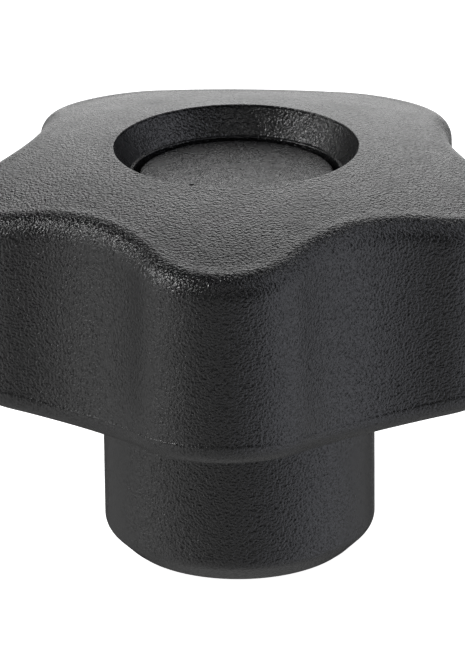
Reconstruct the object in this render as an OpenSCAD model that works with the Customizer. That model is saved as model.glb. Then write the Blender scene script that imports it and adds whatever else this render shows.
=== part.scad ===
// Five-lobe star knob with a moulded-in threaded bush and a snap-in cover cap.
// Z = 0 is the clamping face, the lower end of the bush; +Z points up to the cap.
// One lobe points along -Y, and the others follow round the Z axis.

/* [Head] */
// Widest diameter over the lobes, at the mould parting line
head_d = 40; // [34:0.5:60]
// Number of lobes
lobe_count = 5; // [4:1:6]
// Radius of each lobe's round tip, at the parting line
lobe_r = 6.5; // [5:0.1:8]
// Radius of the finger hollows between the lobes, at the parting line
hollow_r = 12.6; // [9:0.1:20]
// Overall height, from the clamping face to the rim of the cap recess
knob_h = 28.5; // [23.5:0.1:45]
// Height of the underside of the head above the clamping face, at the axis
underside_z = 11.2; // [8:0.1:14]
// How much the underside rises from the axis to the lobe tips
underside_rise = 2.6; // [0:0.1:3.5]
// Radius of the domed top
dome_r = 66; // [50:1:200]
// Draft of the outer wall, in degrees
draft = 1.3; // [0:0.1:3]
// Radius of the rounding along the top edge
top_round = 1.75; // [0.5:0.05:2.5]
// Radius of the rounding along the bottom edge
bottom_round = 1.6; // [0.5:0.1:2]
// Thickness of the side wall at the bottom edge
wall = 2.5; // [2.1:0.1:3]
// Thickness of the top skin over the cored pockets
top_skin = 2.5; // [1.8:0.1:3.5]
// Thickness of the ribs that tie the hub to the finger hollows
rib_t = 2; // [1.2:0.1:3]

/* [Hub] */
// Diameter of the hub
hub_d = 18.4; // [15:0.1:23]
// Width of the chamfer round the foot of the hub, measured along the radius
foot_chamfer = 1.5; // [0.5:0.1:2]

/* [Cover cap] */
// Diameter of the cap's disc
cap_d = 13.1; // [10.8:0.1:16]
// Thickness of the cap's disc
cap_t = 1.4; // [1:0.1:2]
// How far the cap's face lies below the rim of the recess
cap_drop = 2; // [1.8:0.1:3]
// Width of the open groove round the cap's disc
groove_w = 0.4; // [0.2:0.05:0.8]
// How much the conical wall of the recess widens up to its rim
recess_flare = 1.2; // [0.6:0.1:2]
// Depth of the conical wall of the recess
recess_depth = 1.75; // [1:0.05:1.8]
// Diameter of the socket that takes the cap's plug
socket_d = 9.6; // [8:0.1:10]
// Wall thickness of the plug
plug_wall = 1.1; // [0.8:0.1:1.5]
// Width of the slots that let the plug spring inwards
slot_w = 1; // [0.6:0.1:1.5]
// Number of slots
slot_count = 4; // [2:1:6]
// Radial clearance between plug and socket
plug_clear = 0.05; // [0.02:0.01:0.1]
// Free depth of the socket below the plug
plug_gap = 0.8; // [0.4:0.1:2]
// Thickness of the plastic between the socket and the bush
web_t = 1.2; // [0.8:0.1:2.5]
// Clearance between the cap's disc and its seat
seat_clear = 0.02; // [0.01:0.01:0.1]

/* [Threaded bush] */
// Nominal thread diameter
thread_d = 8; // [6:1:8]
// Thread pitch
thread_pitch = 1.25; // [1:0.25:1.25]
// Usable length of the thread
thread_len = 12; // [9:0.5:14.5]
// Outer diameter of the bush
bush_d = 12; // [10:0.1:14.5]
// How far the bush stands proud of the hub
bush_proud = 0.25; // [0.1:0.05:1]
// Thickness of the closed end above the drill point
bush_end = 1; // [0.8:0.1:2]
// Depth of the retaining groove round the bush
key_depth = 0.8; // [0.4:0.1:1]
// Height of the retaining groove
key_h = 2.4; // [1.5:0.1:4]
// Chamfer at the mouth and on the outer edges
bush_chamfer = 0.5; // [0.3:0.1:0.8]

/* [Hidden] */

ROUND_FN = 96;
SPHERE_FN = 128;
EPS = 0.01;
MARGIN = 1;

// Steps along a lobe's arc, along a hollow's arc, and round an edge
LOBE_STEPS = 12;
HOLLOW_STEPS = 8;
EDGE_STEPS = 3;
SECTOR_STEPS = LOBE_STEPS + HOLLOW_STEPS;
RING_STEPS = lobe_count * SECTOR_STEPS;

head_r = head_d / 2;
hub_r = hub_d / 2;
foot_r = hub_r - foot_chamfer;
foot_z = bush_proud;

// Plan of the star: lobe arcs and hollow arcs that meet tangentially
half_sector = 180 / lobe_count;
lobe_centre = head_r - lobe_r;
hollow_centre = lobe_centre * cos(half_sector)
    + sqrt(pow(lobe_r + hollow_r, 2) - pow(lobe_centre * sin(half_sector), 2));
lobe_half_angle = atan2(hollow_centre * sin(half_sector),
    hollow_centre * cos(half_sector) - lobe_centre);
hollow_half_angle = lobe_half_angle - half_sector;
FIRST_LOBE_ANGLE = -90;

// ISO metric internal thread: the bore has the thread's minor diameter
MINOR_FACTOR = 1.0825;
bore_r = (thread_d - MINOR_FACTOR * thread_pitch) / 2;
DRILL_HALF_ANGLE = 59;
drill_tip = bore_r / tan(DRILL_HALF_ANGLE);
mouth_r = thread_d / 2 + bush_chamfer / 2;
mouth_h = mouth_r - bore_r;
bore_z = mouth_h + thread_len;
bush_r = bush_d / 2;
bush_h = bore_z + drill_tip + bush_end;

// Recess, seat and socket of the cap, from the rim down to the plastic over the bush
cap_r = cap_d / 2;
seat_r = cap_r + groove_w;
recess_r = seat_r + recess_flare;
cap_under_z = knob_h - cap_drop - cap_t;
seat_z = cap_under_z - seat_clear;
socket_r = socket_d / 2;
socket_z = bush_h + web_t;
plug_r = socket_r - plug_clear;
plug_z = socket_z + plug_gap;

// Height of the domed top at a distance r from the axis
function dome_z(r) = knob_h + sqrt(pow(dome_r, 2) - pow(r, 2))
    - sqrt(pow(dome_r, 2) - pow(recess_r, 2));

// Height of the underside at a distance r from the axis
function skirt_z(r) = underside_z + underside_rise * pow(r / head_r, 2);

// Point of the star's outline in its own sector, moved in by the given inset
function sector_point(step, inset) = step <= LOBE_STEPS
    ? let (a = lobe_half_angle * (2 * step / LOBE_STEPS - 1))
        [lobe_centre + (lobe_r - inset) * cos(a), (lobe_r - inset) * sin(a)]
    : let (a = half_sector + 180
            + hollow_half_angle * (1 - 2 * (step - LOBE_STEPS) / HOLLOW_STEPS))
        [hollow_centre * cos(half_sector) + (hollow_r + inset) * cos(a),
         hollow_centre * sin(half_sector) + (hollow_r + inset) * sin(a)];

function turned(p, a) = [p.x * cos(a) - p.y * sin(a), p.x * sin(a) + p.y * cos(a)];

// Point i of the whole outline, moved in by the given inset
function star_point(i, inset) = turned(
    sector_point(i % SECTOR_STEPS, inset),
    FIRST_LOBE_ANGLE + 2 * half_sector * floor(i / SECTOR_STEPS));

// How far the draft has moved the wall in, where it meets the top rounding
function draft_inset(p) = tan(draft) * (dome_z(norm(p)) - skirt_z(norm(p)) - bottom_round);

// Rings of the head's skin, each from the same number of points round the axis.
// a = 0 at the flat side of the rounding and 90 at the wall.
function bottom_ring(a) = [for (i = [0 : RING_STEPS - 1])
    let (foot = star_point(i, bottom_round),
         p = star_point(i, bottom_round * (1 - sin(a))))
    [p.x, p.y, skirt_z(norm(foot)) + bottom_round * (1 - cos(a))]];

function top_ring(a) = [for (i = [0 : RING_STEPS - 1])
    let (in = draft_inset(star_point(i, 0)),
         crest = star_point(i, in + top_round),
         p = star_point(i, in + top_round * (1 - sin(a))))
    [p.x, p.y, dome_z(norm(crest)) - top_round * (1 - cos(a))]];

// A point between the edge of a face (share 0) and a circle inside the hub (share 1)
CORE_R = 4;
function toward_core(p, share) = let (q = [p.x, p.y])
    q * (1 - share) + q / norm(q) * CORE_R * share;

function under_face(share) = [for (p = bottom_ring(0))
    let (q = toward_core(p, share)) [q.x, q.y, skirt_z(norm(q))]];

function top_face(share) = [for (p = top_ring(0))
    let (q = toward_core(p, share)) [q.x, q.y, dome_z(norm(q))]];

SKIN_RINGS = concat(
    [for (s = [1, 0.5]) under_face(s)],
    [for (k = [0 : EDGE_STEPS]) bottom_ring(90 * k / EDGE_STEPS)],
    [for (k = [EDGE_STEPS : -1 : 0]) top_ring(90 * k / EDGE_STEPS)],
    [for (s = [0.25, 0.5, 0.75, 1]) top_face(s)]);

// The head as one closed skin, without its recess and pockets
module head_skin() {
    last = len(SKIN_RINGS) - 1;
    points = [for (ring = SKIN_RINGS, p = ring) p];
    bands = [for (r = [0 : last - 1], i = [0 : RING_STEPS - 1])
        let (j = (i + 1) % RING_STEPS,
             low = r * RING_STEPS,
             high = low + RING_STEPS)
        each [[low + i, high + i, high + j], [low + i, high + j, low + j]]];
    bottom = [for (i = [0 : RING_STEPS - 1]) i];
    top = [for (i = [RING_STEPS - 1 : -1 : 0]) last * RING_STEPS + i];
    polyhedron(points = points, faces = concat(bands, [bottom, top]));
}

// Round column that holds the bush and carries the head, with a chamfered foot
module hub() {
    rotate_extrude($fn = ROUND_FN)
        polygon([
            [0, foot_z],
            [foot_r, foot_z],
            [hub_r, foot_z + foot_chamfer],
            [hub_r, dome_z(hub_r) - top_skin / 2],
            [0, dome_z(hub_r) - top_skin / 2]]);
}

// Cored pockets under the head: one in each lobe, with a rib between neighbours
module lobe_pockets() {
    intersection() {
        linear_extrude(height = knob_h)
            difference() {
                polygon([for (i = [0 : RING_STEPS - 1]) star_point(i, wall)]);
                circle(r = hub_r, $fn = ROUND_FN);
                for (k = [0 : lobe_count - 1])
                    rotate(FIRST_LOBE_ANGLE + half_sector * (2 * k + 1))
                        translate([hub_r / 2, -rib_t / 2])
                            square([head_r, rib_t]);
            }
        translate([0, 0, dome_z(0) - dome_r])
            sphere(r = dome_r - top_skin, $fn = SPHERE_FN);
    }
}

// Conical recess in the top, seat of the cap's disc, and socket of its plug
module cap_recess() {
    rotate_extrude($fn = ROUND_FN)
        polygon([
            [0, socket_z],
            [socket_r, socket_z],
            [socket_r, seat_z],
            [seat_r, seat_z],
            [seat_r, knob_h - recess_depth],
            [recess_r, knob_h],
            [recess_r, knob_h + MARGIN],
            [0, knob_h + MARGIN]]);
}

// Outer shape of the bush, which the plastic is moulded round
module bush_outside() {
    key_z = (bush_h - key_h) / 2;
    rotate_extrude($fn = ROUND_FN)
        polygon([
            [0, 0],
            [bush_r - bush_chamfer / 2, 0],
            [bush_r, bush_chamfer / 2],
            [bush_r, key_z],
            [bush_r - key_depth, key_z + key_depth],
            [bush_r - key_depth, key_z + key_h - key_depth],
            [bush_r, key_z + key_h],
            [bush_r, bush_h - bush_chamfer],
            [bush_r - bush_chamfer, bush_h],
            [0, bush_h]]);
}

// One-piece plastic moulding: star head, ribs and hub
module star_body() {
    color("#1d1d1f")
        difference() {
            union() {
                head_skin();
                hub();
            }
            lobe_pockets();
            cap_recess();
            bush_outside();
        }
}

// Turned brass bush with a blind threaded bore
module thread_bush() {
    color("#b8973e")
        difference() {
            bush_outside();
            rotate_extrude($fn = ROUND_FN)
                polygon([
                    [0, -MARGIN],
                    [mouth_r, -MARGIN],
                    [mouth_r, 0],
                    [bore_r, mouth_h],
                    [bore_r, bore_z],
                    [0, bore_z + drill_tip]]);
        }
}

// Snap-in cap: a flat disc with a hollow, slotted plug under it
module cover_cap() {
    color("#232325")
        difference() {
            union() {
                translate([0, 0, cap_under_z])
                    cylinder(r = cap_r, h = cap_t, $fn = ROUND_FN);
                translate([0, 0, plug_z])
                    cylinder(r = plug_r, h = cap_under_z + EPS - plug_z, $fn = ROUND_FN);
            }
            translate([0, 0, plug_z - MARGIN])
                cylinder(r = plug_r - plug_wall, h = cap_under_z - plug_z + MARGIN,
                    $fn = ROUND_FN);
            for (k = [0 : slot_count - 1])
                rotate(360 * (k + 0.5) / slot_count)
                    translate([0, -slot_w / 2, plug_z - MARGIN])
                        cube([plug_r + MARGIN, slot_w,
                            cap_under_z - plug_wall - plug_z + MARGIN]);
        }
}

star_body();
thread_bush();
cover_cap();
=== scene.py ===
"""Looks of a five-lobe star knob: fine meshes, finishes, light and camera on its CAD frame."""
from __future__ import annotations

import logging
import math
from collections.abc import Callable, Iterable, Sequence
from dataclasses import dataclass
from enum import Enum
from typing import Any

import bmesh
import bpy
import numpy as np
from mathutils import Matrix, Vector
from mathutils.geometry import delaunay_2d_cdt

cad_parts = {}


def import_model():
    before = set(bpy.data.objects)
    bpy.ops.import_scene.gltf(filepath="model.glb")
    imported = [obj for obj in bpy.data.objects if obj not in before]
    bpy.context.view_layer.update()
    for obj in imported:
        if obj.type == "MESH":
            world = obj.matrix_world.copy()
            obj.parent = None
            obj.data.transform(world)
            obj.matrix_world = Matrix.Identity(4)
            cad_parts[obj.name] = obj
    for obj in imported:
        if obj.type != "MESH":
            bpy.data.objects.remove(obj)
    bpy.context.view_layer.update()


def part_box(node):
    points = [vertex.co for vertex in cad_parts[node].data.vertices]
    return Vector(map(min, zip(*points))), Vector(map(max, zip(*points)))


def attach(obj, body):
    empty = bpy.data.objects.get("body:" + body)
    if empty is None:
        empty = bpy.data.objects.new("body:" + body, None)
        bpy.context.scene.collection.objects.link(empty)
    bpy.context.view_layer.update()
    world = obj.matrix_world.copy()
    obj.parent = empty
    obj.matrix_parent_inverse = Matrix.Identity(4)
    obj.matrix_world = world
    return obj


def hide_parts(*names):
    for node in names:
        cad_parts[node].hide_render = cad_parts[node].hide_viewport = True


MM = 0.001
WELD_DISTANCE = 0.0005 * MM
SHARP_ANGLE = math.radians(40)
CAP_THICKNESS = 1.4 * MM

log = logging.getLogger("star_knob")


class Body(Enum):
    """The CAD bodies that the pieces ride on."""

    KNOB = "knob"
    CAP = "cap"


class Slot(Enum):
    """The record's material slots."""

    GRIP = "grip_plastic"
    BUSH = "bush_brass"
    CAP = "cap_plastic"


# ---------------------------------------------------------------------------------------------
# Colour and node helpers
# ---------------------------------------------------------------------------------------------


def linear(colour: str) -> tuple[float, float, float, float]:
    """Turns an sRGB hex colour to linear RGBA.

    Args:
        colour: six hex digits after a hash, such as "#1a1a1b".

    Returns:
        Red, green, blue and an alpha of 1, each from 0 to 1.
    """
    parts = [int(colour[i:i + 2], 16) / 255 for i in (1, 3, 5)]
    flat = [c / 12.92 if c <= 0.04045 else ((c + 0.055) / 1.055) ** 2.4 for c in parts]
    return (flat[0], flat[1], flat[2], 1.0)


def add_node(tree: bpy.types.NodeTree, kind: str, settings: dict[str, Any] | None = None,
             **inputs: Any) -> bpy.types.Node:
    """Adds one node, with its settings and its inputs.

    Args:
        tree: node tree that gets the node.
        kind: Blender's name for the node type.
        settings: the node's own properties, by name.
        **inputs: input sockets by name, with _ for a space, or by number, such as i0. A socket
            value is linked, and anything else is set as the default.

    Returns:
        The new node.
    """
    node = tree.nodes.new(kind)
    for key, value in (settings or {}).items():
        setattr(node, key, value)
    for key, value in inputs.items():
        name = key.replace("_", " ")
        numbered = key[0] == "i" and key[1:].isdigit()
        socket = node.inputs[int(key[1:]) if numbered else name]
        if isinstance(value, bpy.types.NodeSocket):
            tree.links.new(value, socket)
        else:
            socket.default_value = value
    return node


def new_material(name: str) -> tuple[bpy.types.Material, bpy.types.NodeTree]:
    """Makes an empty node material.

    Args:
        name: the material's name.

    Returns:
        The material and its node tree.
    """
    material = bpy.data.materials.new(name)
    material.use_nodes = True
    material.node_tree.nodes.clear()
    return material, material.node_tree


# ---------------------------------------------------------------------------------------------
# Finishes
# ---------------------------------------------------------------------------------------------


@dataclass(frozen=True)
class GrainedPolyamide:
    """Black glass-filled polyamide, injection-moulded in a spark-eroded mould.

    The skin is a fine field of low, rounded lumps with small pits between them. The lumps have
    a soft satin sheen and sparkle under a lamp; the pits get painted shade, darker and duller.
    """

    name: str
    colour: str = "#141415"
    # Painted shade: the pits' colour is darker than the plastic's own colour.
    painted_pit_shade: str = "#0a0a0b"
    ior: float = 1.53
    roughness: float = 0.26
    roughness_spread: float = 0.10
    lump: float = 0.17 * MM
    lump_depth: float = 0.09 * MM
    fine: float = 0.075 * MM
    fine_depth: float = 0.012 * MM
    pit_level: float = 0.30
    lump_level: float = 0.44
    # Painted shade: the pits get a lower specular level, in place of reflections blocked inside
    # them.
    painted_pit_gloss_shade: float = 0.32
    lump_gloss: float = 0.5
    mottle: float = 3.0 * MM

    def material(self) -> bpy.types.Material:
        """Builds the node material.

        Returns:
            The material, with its pattern in object space at real size.
        """
        material, tree = new_material(self.name)
        place = add_node(tree, "ShaderNodeTexCoord").outputs["Object"]
        lumps = add_node(tree, "ShaderNodeTexNoise", Vector=place, Scale=1 / self.lump,
                         Detail=1.0, Roughness=0.5, Distortion=0.25).outputs["Fac"]
        # This mask carries the painted pit shade: low lump noise marks the pits.
        level = add_node(tree, "ShaderNodeMapRange", {"interpolation_type": "SMOOTHSTEP"},
                         Value=lumps, From_Min=self.pit_level,
                         From_Max=self.lump_level).outputs[0]
        fine = add_node(tree, "ShaderNodeTexNoise", Vector=place, Scale=1 / self.fine,
                        Detail=1.0, Roughness=0.5).outputs["Fac"]
        fine_bump = add_node(tree, "ShaderNodeBump", Height=fine,
                             Distance=self.fine_depth).outputs[0]
        bump = add_node(tree, "ShaderNodeBump", Height=lumps, Distance=self.lump_depth,
                        Normal=fine_bump).outputs[0]
        # Painted shade: the colour is darker in the pits.
        colour = add_node(tree, "ShaderNodeMix", {"data_type": "RGBA"}, i0=level,
                          i6=linear(self.painted_pit_shade), i7=linear(self.colour)).outputs[2]
        # Painted shade: the specular level drops in the pits, standing in for their blocked
        # reflections.
        gloss_with_painted_pit_shade = add_node(tree, "ShaderNodeMapRange", Value=level, To_Min=self.painted_pit_gloss_shade,
                         To_Max=self.lump_gloss).outputs[0]
        cloud = add_node(tree, "ShaderNodeTexNoise", Vector=place, Scale=1 / self.mottle,
                         Detail=3.0, Roughness=0.6).outputs["Fac"]
        rough = add_node(tree, "ShaderNodeMapRange", Value=cloud, From_Min=0.3, From_Max=0.7,
                         To_Min=self.roughness - self.roughness_spread / 2,
                         To_Max=self.roughness + self.roughness_spread / 2).outputs[0]
        shader = add_node(tree, "ShaderNodeBsdfPrincipled", Base_Color=colour, Roughness=rough,
                          IOR=self.ior, Specular_IOR_Level=gloss_with_painted_pit_shade, Normal=bump).outputs[0]
        add_node(tree, "ShaderNodeOutputMaterial", Surface=shader)
        return material


@dataclass(frozen=True)
class TurnedBrass:
    """Free-cutting brass, turned and tapped: bright, with fine tool rings round the axis."""

    name: str
    colour: str = "#d8b877"
    stain_colour: str = "#b08f52"
    roughness: float = 0.28
    feed: float = 0.10 * MM
    stain: float = 1.6 * MM
    depth: float = 0.004 * MM
    polish: float = 0.06
    dulling: float = 0.10

    def material(self) -> bpy.types.Material:
        """Builds the node material.

        Returns:
            The material, with tool rings at the lathe's feed.
        """
        material, tree = new_material(self.name)
        place = add_node(tree, "ShaderNodeTexCoord").outputs["Object"]
        rings = add_node(tree, "ShaderNodeTexWave",
                         {"wave_type": "RINGS", "rings_direction": "SPHERICAL"},
                         Vector=place, Scale=0.05 * 2 * math.pi / self.feed, Distortion=0.4,
                         Detail=1.0).outputs["Fac"]
        bump = add_node(tree, "ShaderNodeBump", Height=rings, Distance=self.depth,
                        Strength=0.6).outputs[0]
        stain = add_node(tree, "ShaderNodeTexNoise", Vector=place, Scale=1 / self.stain,
                         Detail=4.0, Roughness=0.6).outputs["Fac"]
        share = add_node(tree, "ShaderNodeMapRange", Value=stain, From_Min=0.42,
                         From_Max=0.72).outputs[0]
        colour = add_node(tree, "ShaderNodeMix", {"data_type": "RGBA"}, i0=share,
                          i6=linear(self.colour), i7=linear(self.stain_colour)).outputs[2]
        rough = add_node(tree, "ShaderNodeMapRange", Value=stain, From_Min=0.3, From_Max=0.7,
                         To_Min=self.roughness - self.polish,
                         To_Max=self.roughness + self.dulling).outputs[0]
        shader = add_node(tree, "ShaderNodeBsdfPrincipled", Base_Color=colour, Roughness=rough,
                          Metallic=1.0, Normal=bump).outputs[0]
        add_node(tree, "ShaderNodeOutputMaterial", Surface=shader)
        return material


@dataclass(frozen=True)
class WhiteAcrylic:
    """Opal acrylic table, lit from below: an even white with only a faint contact shadow."""

    name: str
    colour: str = "#e8e8e8"
    glow: float = 1.0

    def material(self) -> bpy.types.Material:
        """Builds the node material.

        Returns:
            The material: a matt white that also glows.
        """
        material, tree = new_material(self.name)
        shader = add_node(tree, "ShaderNodeBsdfPrincipled", Base_Color=linear(self.colour),
                          Roughness=0.9, Emission_Color=(1.0, 1.0, 1.0, 1.0),
                          Emission_Strength=self.glow).outputs[0]
        add_node(tree, "ShaderNodeOutputMaterial", Surface=shader)
        return material


# ---------------------------------------------------------------------------------------------
# Mesh building
# ---------------------------------------------------------------------------------------------


class RingMesh:
    """A closed mesh put together from rings of points, all with the same number of points."""

    def __init__(self, columns: int) -> None:
        """Starts an empty mesh.

        Args:
            columns: number of points in each ring.
        """
        self.columns = columns
        self.points: list[tuple[float, float, float]] = []
        self.faces: list[tuple[int, ...]] = []

    def ring(self, points: np.ndarray) -> int:
        """Adds a ring.

        Args:
            points: columns x 3 array, in metres.

        Returns:
            Index of the ring's first point.
        """
        first = len(self.points)
        self.points.extend(map(tuple, points))
        return first

    def bridge(self, low: int, high: int, chosen: Iterable[int] | None = None,
               shift: int = 0) -> None:
        """Joins two rings with quads.

        Args:
            low: first index of one ring.
            high: first index of the other ring.
            chosen: columns to join, or None for all of them.
            shift: how many columns the second ring is turned by.
        """
        n = self.columns
        for i in (range(n) if chosen is None else chosen):
            j = (i + 1) % n
            self.faces.append((low + i, low + j, high + (j + shift) % n, high + (i + shift) % n))

    def strip(self, rings: Sequence[int], chosen: Iterable[int] | None = None) -> None:
        """Joins each ring to the next one.

        Args:
            rings: first indices, in order.
            chosen: columns to join, or None for all of them.
        """
        columns = None if chosen is None else list(chosen)
        for low, high in zip(rings, rings[1:]):
            self.bridge(low, high, columns)

    def fan(self, ring: int, centre: tuple[float, float, float]) -> None:
        """Closes a ring with triangles to one centre point.

        Args:
            ring: first index of the ring.
            centre: the centre point.
        """
        middle = len(self.points)
        self.points.append(centre)
        for i in range(self.columns):
            self.faces.append((ring + i, ring + (i + 1) % self.columns, middle))

    def make(self, name: str, material: bpy.types.Material) -> bpy.types.Object:
        """Makes the object, with its normals outwards and its hard edges marked.

        Args:
            name: the object's name.
            material: its material.

        Returns:
            The object, linked to the scene.
        """
        mesh = bpy.data.meshes.new(name)
        mesh.from_pydata(self.points, [], self.faces)
        shape = bmesh.new()
        shape.from_mesh(mesh)
        bmesh.ops.remove_doubles(shape, verts=shape.verts, dist=WELD_DISTANCE)
        bmesh.ops.dissolve_degenerate(shape, edges=shape.edges, dist=WELD_DISTANCE)
        bmesh.ops.recalc_face_normals(shape, faces=shape.faces)
        shape.to_mesh(mesh)
        shape.free()
        mesh.polygons.foreach_set("use_smooth", [True] * len(mesh.polygons))
        mesh.set_sharp_from_angle(angle=SHARP_ANGLE)
        mesh.materials.append(material)
        piece = bpy.data.objects.new(name, mesh)
        bpy.context.scene.collection.objects.link(piece)
        return piece


def circle(radii: float | np.ndarray, angles: np.ndarray, z: float | np.ndarray) -> np.ndarray:
    """Points round the axis.

    Args:
        radii: one radius, or one for each angle, in metres.
        angles: polar angles in radians.
        z: one height, or one for each angle.

    Returns:
        Array of points, one row for each angle.
    """
    return np.stack([radii * np.cos(angles), radii * np.sin(angles),
                     np.broadcast_to(z, angles.shape)], axis=-1)


def arc(centre: tuple[float, float], radius: float, start: float, end: float,
        steps: int) -> list[tuple[float, float]]:
    """Points along an arc in the r-z plane.

    Args:
        centre: r and z of the arc's centre.
        radius: the arc's radius.
        start: first angle in degrees, from +r towards +z.
        end: last angle in degrees.
        steps: number of segments.

    Returns:
        The steps + 1 points, as (r, z).
    """
    angles = np.radians(np.linspace(start, end, steps + 1))
    return [(centre[0] + radius * math.cos(a), centre[1] + radius * math.sin(a)) for a in angles]


# ---------------------------------------------------------------------------------------------
# Star body
# ---------------------------------------------------------------------------------------------


@dataclass
class StarPlan:
    """Plan of the star: round lobes and round finger hollows that meet tangentially."""

    head_r: float
    wall: float = 2.5 * MM
    rib_t: float = 2.0 * MM
    flash_h: float = 0.04 * MM
    facet_gap: float = 0.02 * MM
    hub_r: float = 9.2 * MM
    lobe_r: float = 6.5 * MM
    hollow_r: float = 12.6 * MM
    lobe_count: int = 5
    lobe_steps: int = 28
    hollow_side_steps: int = 7
    rib_steps: int = 4

    def __post_init__(self) -> None:
        """Works out the tangent geometry and the columns' angles."""
        self.half_sector = math.pi / self.lobe_count
        self.lobe_centre = self.head_r - self.lobe_r
        reach = self.lobe_centre * math.sin(self.half_sector)
        self.hollow_centre = (self.lobe_centre * math.cos(self.half_sector)
                              + math.sqrt((self.lobe_r + self.hollow_r) ** 2 - reach ** 2))
        self.hollow_x = self.hollow_centre * math.cos(self.half_sector)
        self.hollow_y = self.hollow_centre * math.sin(self.half_sector)
        self.lobe_half = math.atan2(self.hollow_y, self.hollow_x - self.lobe_centre)
        hollow_half = self.lobe_half - self.half_sector
        rib_half = math.asin(self.rib_t / 2 / (self.hollow_r + self.wall))
        self.hollow_angles = np.concatenate([
            np.linspace(hollow_half, rib_half, self.hollow_side_steps + 1)[1:],
            np.linspace(rib_half, -rib_half, self.rib_steps + 1)[1:],
            np.linspace(-rib_half, -hollow_half, self.hollow_side_steps + 1)[1:-1]])
        self.sector_steps = self.lobe_steps + 1 + len(self.hollow_angles)
        self.columns = self.lobe_count * self.sector_steps
        first_rib = self.lobe_steps + self.hollow_side_steps
        self.rib_edges = [(s * self.sector_steps + first_rib,
                           s * self.sector_steps + first_rib + self.rib_steps)
                          for s in range(self.lobe_count)]
        self.rib_columns = [c for a, b in self.rib_edges for c in range(a, b)]
        inside = set(self.rib_columns)
        self.pocket_columns = [c for c in range(self.columns) if c not in inside]

    def outline(self, inset: float | np.ndarray) -> np.ndarray:
        """The star's outline inside the flash bead, moved in by an inset.

        Args:
            inset: one inset, or one for each column.

        Returns:
            columns x 2 array, with the first lobe along -Y.
        """
        inset = np.broadcast_to(inset + self.flash_h + self.facet_gap, (self.columns,))
        out = np.zeros((self.columns, 2))
        lobe = np.linspace(-self.lobe_half, self.lobe_half, self.lobe_steps + 1)
        hollow = self.half_sector + math.pi + self.hollow_angles
        for s in range(self.lobe_count):
            start = s * self.sector_steps
            t = inset[start:start + self.sector_steps]
            r = self.lobe_r - t[:self.lobe_steps + 1]
            q = self.hollow_r + t[self.lobe_steps + 1:]
            x = np.concatenate([self.lobe_centre + r * np.cos(lobe),
                                self.hollow_x + q * np.cos(hollow)])
            y = np.concatenate([r * np.sin(lobe), self.hollow_y + q * np.sin(hollow)])
            turn = 2 * self.half_sector * s - math.pi / 2
            out[start:start + self.sector_steps, 0] = x * math.cos(turn) - y * math.sin(turn)
            out[start:start + self.sector_steps, 1] = x * math.sin(turn) + y * math.cos(turn)
        return out

    def hub_angles(self) -> np.ndarray:
        """Polar angles on the hub, where the columns at a rib's sides keep its thickness.

        Returns:
            One angle for each column, in radians.
        """
        rib_half = math.asin(self.rib_t / 2 / self.hub_r)
        angles = np.zeros(self.columns)
        lobe_side = self.lobe_steps + 2 * self.hollow_side_steps
        for s, (_, rib_end) in enumerate(self.rib_edges):
            middle = 2 * self.half_sector * s + self.half_sector - math.pi / 2
            across = np.linspace(-rib_half, rib_half, self.rib_steps + 1)
            between = np.linspace(rib_half, 2 * self.half_sector - rib_half, lobe_side + 1)
            for k, a in enumerate(across[:-1]):
                angles[rib_end - self.rib_steps + k] = middle + a
            for k, a in enumerate(between[:-1]):
                angles[(rib_end + k) % self.columns] = middle + a
        return angles


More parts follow.
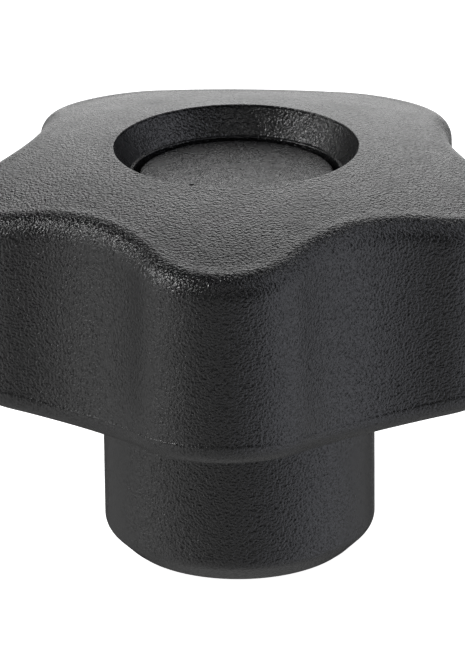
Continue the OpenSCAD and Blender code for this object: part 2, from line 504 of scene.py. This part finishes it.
@dataclass
class StarBody:
    """The one-piece moulding: domed star head, cored pockets with ribs, and the hub."""

    knob_h: float
    head_r: float
    foot_z: float
    bush_r: float
    bush_h: float
    cap_r: float
    cap_under_z: float
    plug_z: float
    underside_z: float = 11.2 * MM
    underside_rise: float = 2.6 * MM
    dome_r: float = 66 * MM
    draft: float = math.radians(1.3)
    top_round: float = 1.75 * MM
    bottom_round: float = 1.6 * MM
    top_skin: float = 2.5 * MM
    foot_chamfer: float = 1.5 * MM
    foot_round: float = 1.0 * MM
    foot_edge_round: float = 0.12 * MM
    foot_land: float = 0.3 * MM
    bush_lead_in: float = 0.1 * MM
    groove_w: float = 0.4 * MM
    recess_flare: float = 1.2 * MM
    recess_depth: float = 1.75 * MM
    socket_r: float = 4.8 * MM
    seat_clear: float = 0.02 * MM
    plug_gap: float = 0.8 * MM
    rim_round: float = 0.08 * MM
    rim_land: float = 0.16 * MM
    ledge_w: float = 0.20 * MM
    ledge_drop: float = 0.13 * MM
    lip_round: float = 0.06 * MM
    ledge_round: float = 0.14 * MM
    edge_round: float = 0.15 * MM
    mouth_round: float = 0.25 * MM
    pocket_round: float = 0.8 * MM
    pocket_draft: float = 0.1 * MM
    flash_w: float = 0.10 * MM
    key_depth: float = 0.8 * MM
    key_h: float = 2.4 * MM
    bush_chamfer: float = 0.5 * MM

    def __post_init__(self) -> None:
        """Sets up the plan and what follows from the sizes."""
        self.plan = StarPlan(self.head_r)
        self.seat_r = self.cap_r + self.groove_w
        self.recess_r = self.seat_r + self.recess_flare
        self.seat_z = self.cap_under_z - self.seat_clear
        self.socket_z = self.plug_z - self.plug_gap
        self.rim_drop = math.sqrt(self.dome_r ** 2 - self.recess_r ** 2)

    def dome_z(self, r: float | np.ndarray) -> float | np.ndarray:
        """Height of the domed top at a distance r from the axis."""
        return self.knob_h + np.sqrt(self.dome_r ** 2 - np.square(r)) - self.rim_drop

    def skirt_z(self, r: float | np.ndarray) -> float | np.ndarray:
        """Height of the underside at a distance r from the axis."""
        return self.underside_z + self.underside_rise * np.square(r / self.head_r)

    def top_profile(self) -> list[tuple[float, float]]:
        """Recess, seat and socket, from the socket's floor out to the rim.

        Returns:
            The points, as (r, z).
        """
        edge, rim = self.edge_round, self.rim_round
        cone_top = self.knob_h - self.rim_land
        cone_foot = self.knob_h - self.recess_depth - self.ledge_drop
        foot_r = self.seat_r + self.ledge_w
        slope = math.degrees(math.atan2(cone_top - cone_foot, self.recess_r - foot_r))
        lip, bend = self.lip_round, self.ledge_round
        back = bend * math.tan(math.radians(slope / 2))
        return [
            (self.socket_r * 0.9, self.socket_z),
            (self.socket_r, self.socket_z + edge),
            (self.socket_r, self.seat_z - edge),
            *arc((self.socket_r + edge, self.seat_z - edge), edge, 180, 90, 3),
            (self.seat_r - edge, self.seat_z),
            (self.seat_r, self.seat_z + edge),
            (self.seat_r, cone_foot - lip - 0.05 * MM),
            *arc((self.seat_r + lip, cone_foot - lip), lip, 180, 90, 3),
            *arc((foot_r - back, cone_foot + bend), bend, -90, slope - 90, 5),
            *((foot_r + share * (self.recess_r - foot_r), cone_foot + share * (cone_top - cone_foot))
              for share in (0.3, 0.6, 0.99)),
            (self.recess_r, cone_top + 0.01 * MM),
            *arc((self.recess_r + rim, self.knob_h - rim), rim, 180, 90, 4),
        ]

    def hub_profile(self) -> list[tuple[float, float]]:
        """Hub, foot and bush cavity, from under the head to the cavity's top.

        Returns:
            The points, as (r, z).
        """
        hub, foot = self.plan.hub_r, self.foot_z
        chamfer, blend = self.foot_chamfer, self.foot_round
        land, edge = self.foot_land, self.foot_edge_round
        back = blend * math.tan(math.radians(22.5))
        key_z = (self.bush_h - self.key_h) / 2
        deep = self.bush_r - self.key_depth
        return [
            (hub, foot + chamfer + back + 4.0 * MM),
            (hub, foot + chamfer + back + 0.5 * MM),
            *arc((hub - blend, foot + chamfer + back), blend, 0, -45, 6),
            (hub - chamfer + land, foot + land),
            *arc((hub - chamfer - edge, foot + edge), edge, -45, -90, 3),
            (self.bush_r + self.bush_lead_in, foot),
            (self.bush_r, foot + self.bush_lead_in),
            (self.bush_r, key_z),
            (deep, key_z + self.key_depth),
            (deep, key_z + self.key_h - self.key_depth),
            (self.bush_r, key_z + self.key_h),
            (self.bush_r, self.bush_h - self.bush_chamfer),
            (self.bush_r - self.bush_chamfer, self.bush_h),
        ]

    def head_rings(self, mesh: RingMesh, rim: np.ndarray) -> list[int]:
        """Adds the dome, the top rounding, the wall, the parting line and the bottom rounding.

        Args:
            mesh: mesh that gets the rings.
            rim: the ring of points at the rim of the recess.

        Returns:
            First indices of the rings, from the rim outwards and down.
        """
        plan, rings = self.plan, []
        plain = plan.outline(0.0)
        reach = np.hypot(*plain.T)
        wall_h = self.dome_z(reach) - self.skirt_z(reach) - self.bottom_round
        inset = math.tan(self.draft) * wall_h
        crest = plan.outline(inset + self.top_round)
        crest_z = self.dome_z(np.hypot(*crest.T))
        for share in (0.02, 0.1, 0.25, 0.4, 0.55, 0.7, 0.82, 0.92):
            flat = rim[:, :2] * (1 - share) + crest * share
            rings.append(mesh.ring(np.column_stack([flat, self.dome_z(np.hypot(*flat.T))])))
        for a in np.radians(np.linspace(0, 90, 11)):
            flat = plan.outline(inset + self.top_round * (1 - math.sin(a)))
            z = crest_z - self.top_round * (1 - math.cos(a))
            rings.append(mesh.ring(np.column_stack([flat, z])))
        wall_top = crest_z - self.top_round
        foot = plan.outline(self.bottom_round)
        foot_z = self.skirt_z(np.hypot(*foot.T))
        part_z = foot_z + self.bottom_round
        for share in (0.06, 0.3, 0.6, 0.9):
            z = wall_top + (part_z - wall_top) * share
            rings.append(mesh.ring(np.column_stack([plan.outline(inset * (1 - share)), z])))
        # The flash bead: rise in bead widths and how far out in bead heights, from the wall down.
        bead = ((1.6, 0.0), (1.0, 0.0), (0.5, 1.0), (0.0, 1.0), (-0.5, -0.5), (-1.2, -0.5))
        for rise, out in bead:
            flat = plan.outline(-out * plan.flash_h)
            rings.append(mesh.ring(np.column_stack([flat, part_z + rise * self.flash_w])))
        for a in np.radians(np.linspace(78, 0, 9)):
            flat = plan.outline(self.bottom_round * (1 - math.sin(a)))
            z = foot_z + self.bottom_round * (1 - math.cos(a))
            rings.append(mesh.ring(np.column_stack([flat, z])))
        return rings

    def pocket_rings(self, mesh: RingMesh, land: np.ndarray, root: np.ndarray) -> list[int]:
        """Adds the walls and the ceiling of the cored pockets.

        Args:
            mesh: mesh that gets the rings.
            land: points on the underside, at the outer edge of the pockets.
            root: points on the hub, at the underside.

        Returns:
            First indices of the rings, from the outer edge over the ceiling to the hub.
        """
        lip, bend = self.mouth_round, self.pocket_round
        across = root[:, :2] - land[:, :2]
        length = np.hypot(*across.T)[:, None]
        along = across / length

        def place(offset: float | np.ndarray, z: Callable[[np.ndarray], np.ndarray]) -> int:
            """Adds a ring at a distance from the outer edge, at a height from its radius."""
            flat = land[:, :2] + along * offset
            return mesh.ring(np.column_stack([flat, z(np.hypot(*flat.T))]))

        def ceiling(r: np.ndarray) -> np.ndarray:
            """Height of the pocket's ceiling under the top skin."""
            return (self.dome_z(0.0) - self.dome_r
                    + np.sqrt((self.dome_r - self.top_skin) ** 2 - np.square(r)))

        mouth = land[:, 2]
        rings = []
        for a in np.radians((30, 60, 90)):
            rings.append(place(lip * math.sin(a), lambda r, a=a: mouth + lip * (1 - math.cos(a))))
        rings.append(place(lip + 0.02 * MM, lambda r: mouth + 1.2 * MM))
        for a in np.radians(np.linspace(0, 90, 6)):
            rings.append(place(lip + self.pocket_draft + bend * (1 - math.cos(a)),
                               lambda r, a=a: ceiling(r) - bend * (1 - math.sin(a))))
        for share in (0.35, 0.65):
            rings.append(place(length * share, ceiling))
        for a in np.radians(np.linspace(90, 0, 6)):
            rings.append(place(length - bend * (1 - math.cos(a)),
                               lambda r, a=a: ceiling(r) - bend * (1 - math.sin(a))))
        return rings

    def build(self, finish: GrainedPolyamide) -> bpy.types.Object:
        """Builds the moulding as one closed mesh.

        Args:
            finish: the plastic's finish.

        Returns:
            The finished piece.
        """
        plan = self.plan
        mesh = RingMesh(plan.columns)
        flat = plan.outline(0.0)
        top_angles = np.arctan2(flat[:, 1], flat[:, 0])
        hub_angles = plan.hub_angles()

        inner = [mesh.ring(circle(r, top_angles, z)) for r, z in self.top_profile()]
        mesh.fan(inner[0], (0.0, 0.0, self.socket_z))
        rim_r, _ = self.top_profile()[-1]
        head = self.head_rings(mesh, circle(rim_r, top_angles, self.knob_h))
        edge = plan.outline(plan.wall - self.mouth_round)
        land = np.column_stack([edge, self.skirt_z(np.hypot(*edge.T))])
        land_ring = mesh.ring(land)
        mesh.strip([*inner, *head, land_ring])

        root = circle(plan.hub_r, hub_angles, self.skirt_z(plan.hub_r))
        root_ring = mesh.ring(root)
        pocket = self.pocket_rings(mesh, land, root)
        mesh.strip([land_ring, *pocket, root_ring], plan.pocket_columns)
        mesh.bridge(land_ring, root_ring, plan.rib_columns)
        for column in (c for pair in plan.rib_edges for c in pair):
            mesh.faces.append(tuple(ring + column for ring in [land_ring, *pocket, root_ring]))

        hub = [mesh.ring(circle(r, hub_angles, z)) for r, z in self.hub_profile()]
        mesh.strip([root_ring, *hub])
        mesh.fan(hub[-1], (0.0, 0.0, self.bush_h))
        return mesh.make("star_moulding", finish.material())


# ---------------------------------------------------------------------------------------------
# Threaded bush
# ---------------------------------------------------------------------------------------------


@dataclass
class ThreadBush:
    """The turned brass bush: a blind metric thread inside, knurled bands and a groove outside."""

    bush_r: float
    bush_h: float
    major_r: float = 4.0 * MM
    pitch: float = 1.25 * MM
    thread_len: float = 12.0 * MM
    thread_depth: float = 1.0825 / 2
    drill_half_angle: float = math.radians(59)
    chamfer: float = 0.5 * MM
    key_depth: float = 0.8 * MM
    key_h: float = 2.4 * MM
    knurl_depth: float = 0.28 * MM
    land: float = 0.6 * MM
    columns: int = 96

    def __post_init__(self) -> None:
        """Works out the bore and the countersink from the thread."""
        self.bore_r = self.major_r - self.thread_depth * self.pitch
        self.mouth_r = self.major_r + self.chamfer / 2
        self.bore_z = self.mouth_r - self.bore_r + self.thread_len
        self.drill_tip = self.bore_r / math.tan(self.drill_half_angle)

    def thread_r(self, z: np.ndarray, turns: np.ndarray) -> np.ndarray:
        """Radius of the threaded wall.

        Args:
            z: heights above the clamping face.
            turns: angle round the axis, in turns.

        Returns:
            The radius, with the countersink at the mouth and the run-out at the end.
        """
        phase = np.mod(z / self.pitch - turns, 1.0)
        flank = 5 / 16
        groove = np.clip((np.abs(phase - 0.5) - 1 / 8) / flank, 0, 1)
        runout = np.clip((self.bore_z - z) / self.pitch, 0, 1)
        thread = self.bore_r + (self.major_r - self.bore_r) * groove * runout
        return np.maximum(thread, self.mouth_r - z)

    def build(self, finish: TurnedBrass) -> bpy.types.Object:
        """Builds the bush as one closed mesh.

        Args:
            finish: the brass finish.

        Returns:
            The finished piece.
        """
        mesh = RingMesh(self.columns)
        turns = np.arange(self.columns) / self.columns
        angles = 2 * math.pi * turns
        # Rows follow the helix, so the thread's crests stay crisp; they stop at the bore's ends.
        corners = (0.0, 1 / 16, 1 / 8 + 3 / 32, 3 / 8, 5 / 8, 1 - 1 / 8 - 3 / 32, 1 - 1 / 16)
        wraps = range(-1, math.ceil(self.bore_z / self.pitch) + 1)
        levels = sorted((w + c) * self.pitch for w in wraps for c in corners)
        per_turn = len(corners)
        rows = []
        for level in levels:
            z = np.clip(level + turns * self.pitch, 0.0, self.bore_z)
            rows.append(mesh.ring(circle(self.thread_r(z, turns), angles, z)))
        last = self.columns - 1
        for k in range(len(rows) - 1):
            mesh.bridge(rows[k], rows[k + 1], range(last))
            # Across the seam, each row meets the row one pitch higher at the start of the turn.
            if k + 1 + per_turn < len(rows):
                mesh.faces.append((rows[k] + last, rows[k + per_turn],
                                   rows[k + 1 + per_turn], rows[k + 1] + last))
        mouth = mesh.ring(circle(self.mouth_r, angles, 0.0))
        end = mesh.ring(circle(self.bore_r, angles, self.bore_z))
        mesh.fan(end, (0.0, 0.0, self.bore_z + self.drill_tip))

        key_z = (self.bush_h - self.key_h) / 2
        deep = self.bush_r - self.key_depth
        tooth = np.where(np.arange(self.columns) % 2 == 0, 0.0, self.knurl_depth)
        outside: list[tuple[float | np.ndarray, float]] = [
            (self.bush_r - self.chamfer / 2, 0.0),
            (self.bush_r, self.chamfer / 2),
            (self.bush_r, self.chamfer / 2 + self.land),
            (self.bush_r - tooth, self.chamfer / 2 + self.land + self.knurl_depth),
            (self.bush_r - tooth, key_z - self.knurl_depth),
            (self.bush_r, key_z),
            (deep, key_z + self.key_depth),
            (deep, key_z + self.key_h - self.key_depth),
            (self.bush_r, key_z + self.key_h),
            (self.bush_r - tooth, key_z + self.key_h + self.knurl_depth),
            (self.bush_r - tooth, self.bush_h - self.chamfer - self.knurl_depth),
            (self.bush_r, self.bush_h - self.chamfer),
            (self.bush_r - self.chamfer, self.bush_h),
        ]
        rings = [mesh.ring(circle(r, angles, z)) for r, z in outside]
        mesh.strip([mouth, *rings])
        mesh.fan(rings[-1], (0.0, 0.0, self.bush_h))
        return mesh.make("brass_bush", finish.material())


# ---------------------------------------------------------------------------------------------
# Cover cap
# ---------------------------------------------------------------------------------------------


@dataclass
class CoverCap:
    """The snap-in cap: a flat grained disc with a hollow plug, slotted so that it can spring."""

    cap_r: float
    face_z: float
    under_z: float
    plug_z: float
    plug_r: float = 4.75 * MM
    plug_wall: float = 1.1 * MM
    slot_w: float = 1.0 * MM
    slot_count: int = 4
    edge_round: float = 0.18 * MM
    tip_chamfer: float = 0.2 * MM
    between_steps: int = 22
    slot_steps: int = 2
    pit_r: float = 0.16 * MM
    pit_depth: float = 0.28 * MM
    pit_at: tuple[float, float] = (-2.86 * MM, -2.31 * MM)
    pit_steps: int = 12

    def column_angles(self, radius: float) -> np.ndarray:
        """Polar angles of the columns, where those at a slot's sides keep its width.

        Args:
            radius: distance from the axis, where the slot's width is kept.

        Returns:
            One angle for each column, in radians.
        """
        half = math.asin(self.slot_w / 2 / radius)
        sector = 2 * math.pi / self.slot_count
        angles = []
        for k in range(self.slot_count):
            middle = sector * (k + 0.5)
            angles.extend(middle + np.linspace(-half, half, self.slot_steps + 1)[:-1])
            angles.extend(middle + np.linspace(half, sector - half, self.between_steps + 1)[:-1])
        return np.array(angles)

    def face(self, mesh: RingMesh, ring: int) -> None:
        """Closes the top with a flat face that has one small gate pit in it.

        Args:
            mesh: mesh that gets the face.
            ring: first index of the face's outer ring.
        """
        pit_steps = self.pit_steps
        turns = np.arange(pit_steps) * 2 * math.pi / pit_steps
        centre = np.array(self.pit_at)
        circles = [[centre + r * np.array([math.cos(a), math.sin(a)]) for a in turns]
                   for r in (self.pit_r, self.pit_r * 1.5)]
        outer = [mesh.points[ring + i][:2] for i in range(mesh.columns)]
        n = mesh.columns
        edges = [(i, (i + 1) % n) for i in range(n)]
        for first in (n, n + pit_steps):
            edges += [(first + i, first + (i + 1) % pit_steps) for i in range(pit_steps)]
        flat = [Vector(p) / MM for p in [*outer, *circles[0], *circles[1]]]
        points, _, triangles, *_ = delaunay_2d_cdt(flat, edges, [], 1, 1e-6)
        indices = []
        for k, p in enumerate(points):
            if k < n:
                indices.append(ring + k)
            else:
                indices.append(len(mesh.points))
                mesh.points.append((p.x * MM, p.y * MM, self.face_z))
        for triangle in triangles:
            middle = sum((points[k] for k in triangle), Vector((0, 0))) / len(triangle) * MM
            if (middle - Vector(self.pit_at)).length > self.pit_r * 0.9:
                mesh.faces.append(tuple(indices[k] for k in triangle))
        bottom = len(mesh.points)
        mesh.points.append((*self.pit_at, self.face_z - self.pit_depth))
        for i in range(pit_steps):
            mesh.faces.append((indices[n + i], indices[n + (i + 1) % pit_steps], bottom))

    def build(self, finish: GrainedPolyamide) -> bpy.types.Object:
        """Builds the cap as one closed mesh.

        Args:
            finish: the plastic's finish.

        Returns:
            The finished piece.
        """
        per_sector = self.slot_steps + self.between_steps
        mesh = RingMesh(self.slot_count * per_sector)
        outer_angles = self.column_angles(self.plug_r)
        inner_r = self.plug_r - self.plug_wall
        inner_angles = self.column_angles(inner_r)
        edge, tip = self.edge_round, self.tip_chamfer
        slot_z = self.under_z - self.plug_wall

        disc = [(self.cap_r - 2 * edge, self.face_z),
                *arc((self.cap_r - edge, self.face_z - edge), edge, 90, 0, 4),
                (self.cap_r, self.under_z + tip),
                (self.cap_r - tip, self.under_z)]
        rings = [mesh.ring(circle(r, outer_angles, z)) for r, z in disc]
        self.face(mesh, rings[0])
        outside = [mesh.ring(circle(r, outer_angles, z)) for r, z in (
            (self.plug_r, self.under_z), (self.plug_r, slot_z))]
        inside = [mesh.ring(circle(inner_r, inner_angles, z)) for z in (slot_z, self.under_z)]
        mesh.strip([*rings, *outside])
        mesh.strip(inside)
        mesh.fan(inside[-1], (0.0, 0.0, self.under_z))

        slots = [k * per_sector + s for k in range(self.slot_count) for s in range(self.slot_steps)]
        walls = [c for c in range(mesh.columns) if c not in set(slots)]
        mesh.bridge(outside[-1], inside[0], slots)
        wall = [mesh.ring(circle(r, a, z)) for r, a, z in (
            (self.plug_r, outer_angles, self.plug_z + tip * 2),
            (self.plug_r - tip, outer_angles, self.plug_z),
            (inner_r, inner_angles, self.plug_z))]
        mesh.strip([outside[-1], *wall, inside[0]], walls)
        for k in range(self.slot_count):
            for column in (k * per_sector, k * per_sector + self.slot_steps):
                mesh.faces.append(tuple(
                    r + column for r in [outside[-1], *wall, inside[0]]))
        return mesh.make("cap_moulding", finish.material())


# ---------------------------------------------------------------------------------------------
# Studio
# ---------------------------------------------------------------------------------------------


@dataclass(frozen=True)
class Panel:
    """One broad soft panel of light in the surroundings.

    Azimuth 0 is behind the object as the camera sees it, and 90 is to its right. The spread is
    the panel's angular radius and the edge is how far its border fades, both in degrees.
    """

    azimuth: float
    elevation: float
    spread: float
    edge: float
    strength: float
    tint: str = "#ffffff"

    def direction(self) -> Vector:
        """Unit vector from the object towards the panel's middle."""
        a, e = math.radians(self.azimuth), math.radians(self.elevation)
        return Vector((math.sin(a) * math.cos(e), math.cos(a) * math.cos(e), math.sin(e)))


@dataclass
class Studio:
    """Pale table, soft surroundings and camera."""

    knob_h: float
    azimuth: float = 3.58
    elevation: float = 19.9
    distance: float = 393.1 * MM
    aim_z: float = 15.8 * MM
    aim_left: float = 0.37 * MM
    roll: float = -0.64
    lens_mm: float = 329.1
    ambient: float = 0.015
    table_half: float = 1.5
    panels: tuple[Panel, ...] = (
        Panel(0, 32, 21, 5, 1.9),
        Panel(0, -2, 18, 9, 1.15),
        Panel(-50, -24, 20, 10, 0.3),
        Panel(50, -24, 20, 10, 0.35),
        Panel(-95, 38, 7, 3, 23.0),
        Panel(-108, 14, 5, 2, 12.0),
        Panel(90, 45, 20, 12, 1.45, "#f4f6ff"),
        Panel(180, 46, 16, 8, 1.0),
        Panel(-90, 0, 24, 18, 0.7),
        Panel(90, 0, 24, 18, 1.0, "#f4f6ff"),
        Panel(-118, -30, 25, 18, 0.75),
        Panel(118, -30, 25, 18, 0.9, "#f4f6ff"),
        Panel(180, -22, 22, 16, 0.5),
        Panel(0, -90, 30, 30, 0.5),
    )

    def camera(self) -> bpy.types.Object:
        """Makes the camera and makes it the scene's camera.

        Returns:
            The camera.
        """
        a, e = math.radians(self.azimuth), math.radians(self.elevation)
        back = Vector((math.sin(a) * math.cos(e), -math.cos(a) * math.cos(e), math.sin(e)))
        right = Vector((math.cos(a), math.sin(a), 0.0))
        place = Vector((0.0, 0.0, self.knob_h)) + back * self.distance
        aim = Vector((0.0, 0.0, self.aim_z)) - right * self.aim_left
        turn = (aim - place).to_track_quat("-Z", "Y").to_matrix().to_4x4()
        data = bpy.data.cameras.new("studio_camera")
        data.lens, data.sensor_width = self.lens_mm, 36.0
        data.clip_start, data.clip_end = 0.01, 10.0
        camera = bpy.data.objects.new("studio_camera", data)
        camera.matrix_world = (Matrix.Translation(place) @ turn
                               @ Matrix.Rotation(math.radians(self.roll), 4, "Z"))
        bpy.context.scene.collection.objects.link(camera)
        bpy.context.scene.camera = camera
        return camera

    def surroundings(self) -> None:
        """Fills the world with soft panels of light, each a smooth patch round its direction."""
        world = bpy.data.worlds.new("studio")
        bpy.context.scene.world = world
        world.use_nodes = True
        tree = world.node_tree
        tree.nodes.clear()
        sky = add_node(tree, "ShaderNodeTexCoord").outputs["Generated"]
        total = add_node(tree, "ShaderNodeCombineColor", Red=self.ambient, Green=self.ambient,
                         Blue=self.ambient).outputs[0]
        for panel in self.panels:
            facing = add_node(tree, "ShaderNodeVectorMath", {"operation": "DOT_PRODUCT"},
                              i0=sky, i1=panel.direction()).outputs["Value"]
            share = add_node(tree, "ShaderNodeMapRange", {"interpolation_type": "SMOOTHSTEP"},
                             Value=facing,
                             From_Min=math.cos(math.radians(panel.spread + panel.edge)),
                             From_Max=math.cos(math.radians(panel.spread - panel.edge)),
                             To_Max=panel.strength).outputs[0]
            light = add_node(tree, "ShaderNodeVectorMath", {"operation": "SCALE"},
                             i0=linear(panel.tint)[:3], Scale=share).outputs[0]
            total = add_node(tree, "ShaderNodeVectorMath", {"operation": "ADD"},
                             i0=total, i1=light).outputs[0]
        glow = add_node(tree, "ShaderNodeBackground", Color=total, Strength=1.0).outputs[0]
        add_node(tree, "ShaderNodeOutputWorld", Surface=glow)

    def table(self) -> bpy.types.Object:
        """Makes the table top. The panels stand in for it in the knob's reflections.

        Returns:
            The table top.
        """
        half = self.table_half
        mesh = bpy.data.meshes.new("table_top")
        mesh.from_pydata([(-half, -half, 0), (half, -half, 0), (half, half, 0), (-half, half, 0)],
                         [], [(0, 1, 2, 3)])
        mesh.materials.append(WhiteAcrylic("opal_acrylic_table").material())
        table = bpy.data.objects.new("table_top", mesh)
        bpy.context.scene.collection.objects.link(table)
        table.visible_glossy = False
        table.visible_diffuse = False
        return table

    def colours(self) -> None:
        """Shows colours as measured, without a film look."""
        bpy.context.scene.view_settings.view_transform = "Standard"


# ---------------------------------------------------------------------------------------------
# Assembly
# ---------------------------------------------------------------------------------------------


def place(piece: bpy.types.Object, node: str, body: Body, slot: Slot) -> None:
    """Puts a piece in the frame, in place of its CAD node, and reports it.

    Args:
        piece: the finished piece.
        node: CAD node that it stands for.
        body: body that it rides on.
        slot: the record's material slot; not used.
    """
    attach(piece, body.value)
    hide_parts(node)
    log.info("%s: %d faces, stands for %s, rides on %s", piece.name, len(piece.data.polygons),
             node, body.value)


def main() -> None:
    """Builds the knob's pieces round the frame, and then the studio."""
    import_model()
    head_low, head_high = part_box("star_body")
    _, bush_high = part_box("thread_bush")
    cap_low, cap_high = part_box("cover_cap")
    cap_under_z = cap_high.z - CAP_THICKNESS

    body = StarBody(knob_h=head_high.z, head_r=-head_low.y, foot_z=head_low.z,
                    bush_r=bush_high.x, bush_h=bush_high.z, cap_r=cap_high.x,
                    cap_under_z=cap_under_z, plug_z=cap_low.z)
    bush = ThreadBush(bush_r=bush_high.x, bush_h=bush_high.z)
    cap = CoverCap(cap_r=cap_high.x, face_z=cap_high.z, under_z=cap_under_z, plug_z=cap_low.z)

    place(body.build(GrainedPolyamide("black_polyamide_spark_eroded")), "star_body",
          Body.KNOB, Slot.GRIP)
    place(bush.build(TurnedBrass("turned_brass")), "thread_bush", Body.KNOB, Slot.BUSH)
    place(cap.build(GrainedPolyamide("black_polyamide_cap", colour="#131314")), "cover_cap",
          Body.CAP, Slot.CAP)

    studio = Studio(knob_h=head_high.z)
    studio.table()
    studio.surroundings()
    studio.colours()
    studio.camera()


if __name__ == "__main__":
    logging.basicConfig(level=logging.INFO, format="%(name)s %(message)s")
    main()
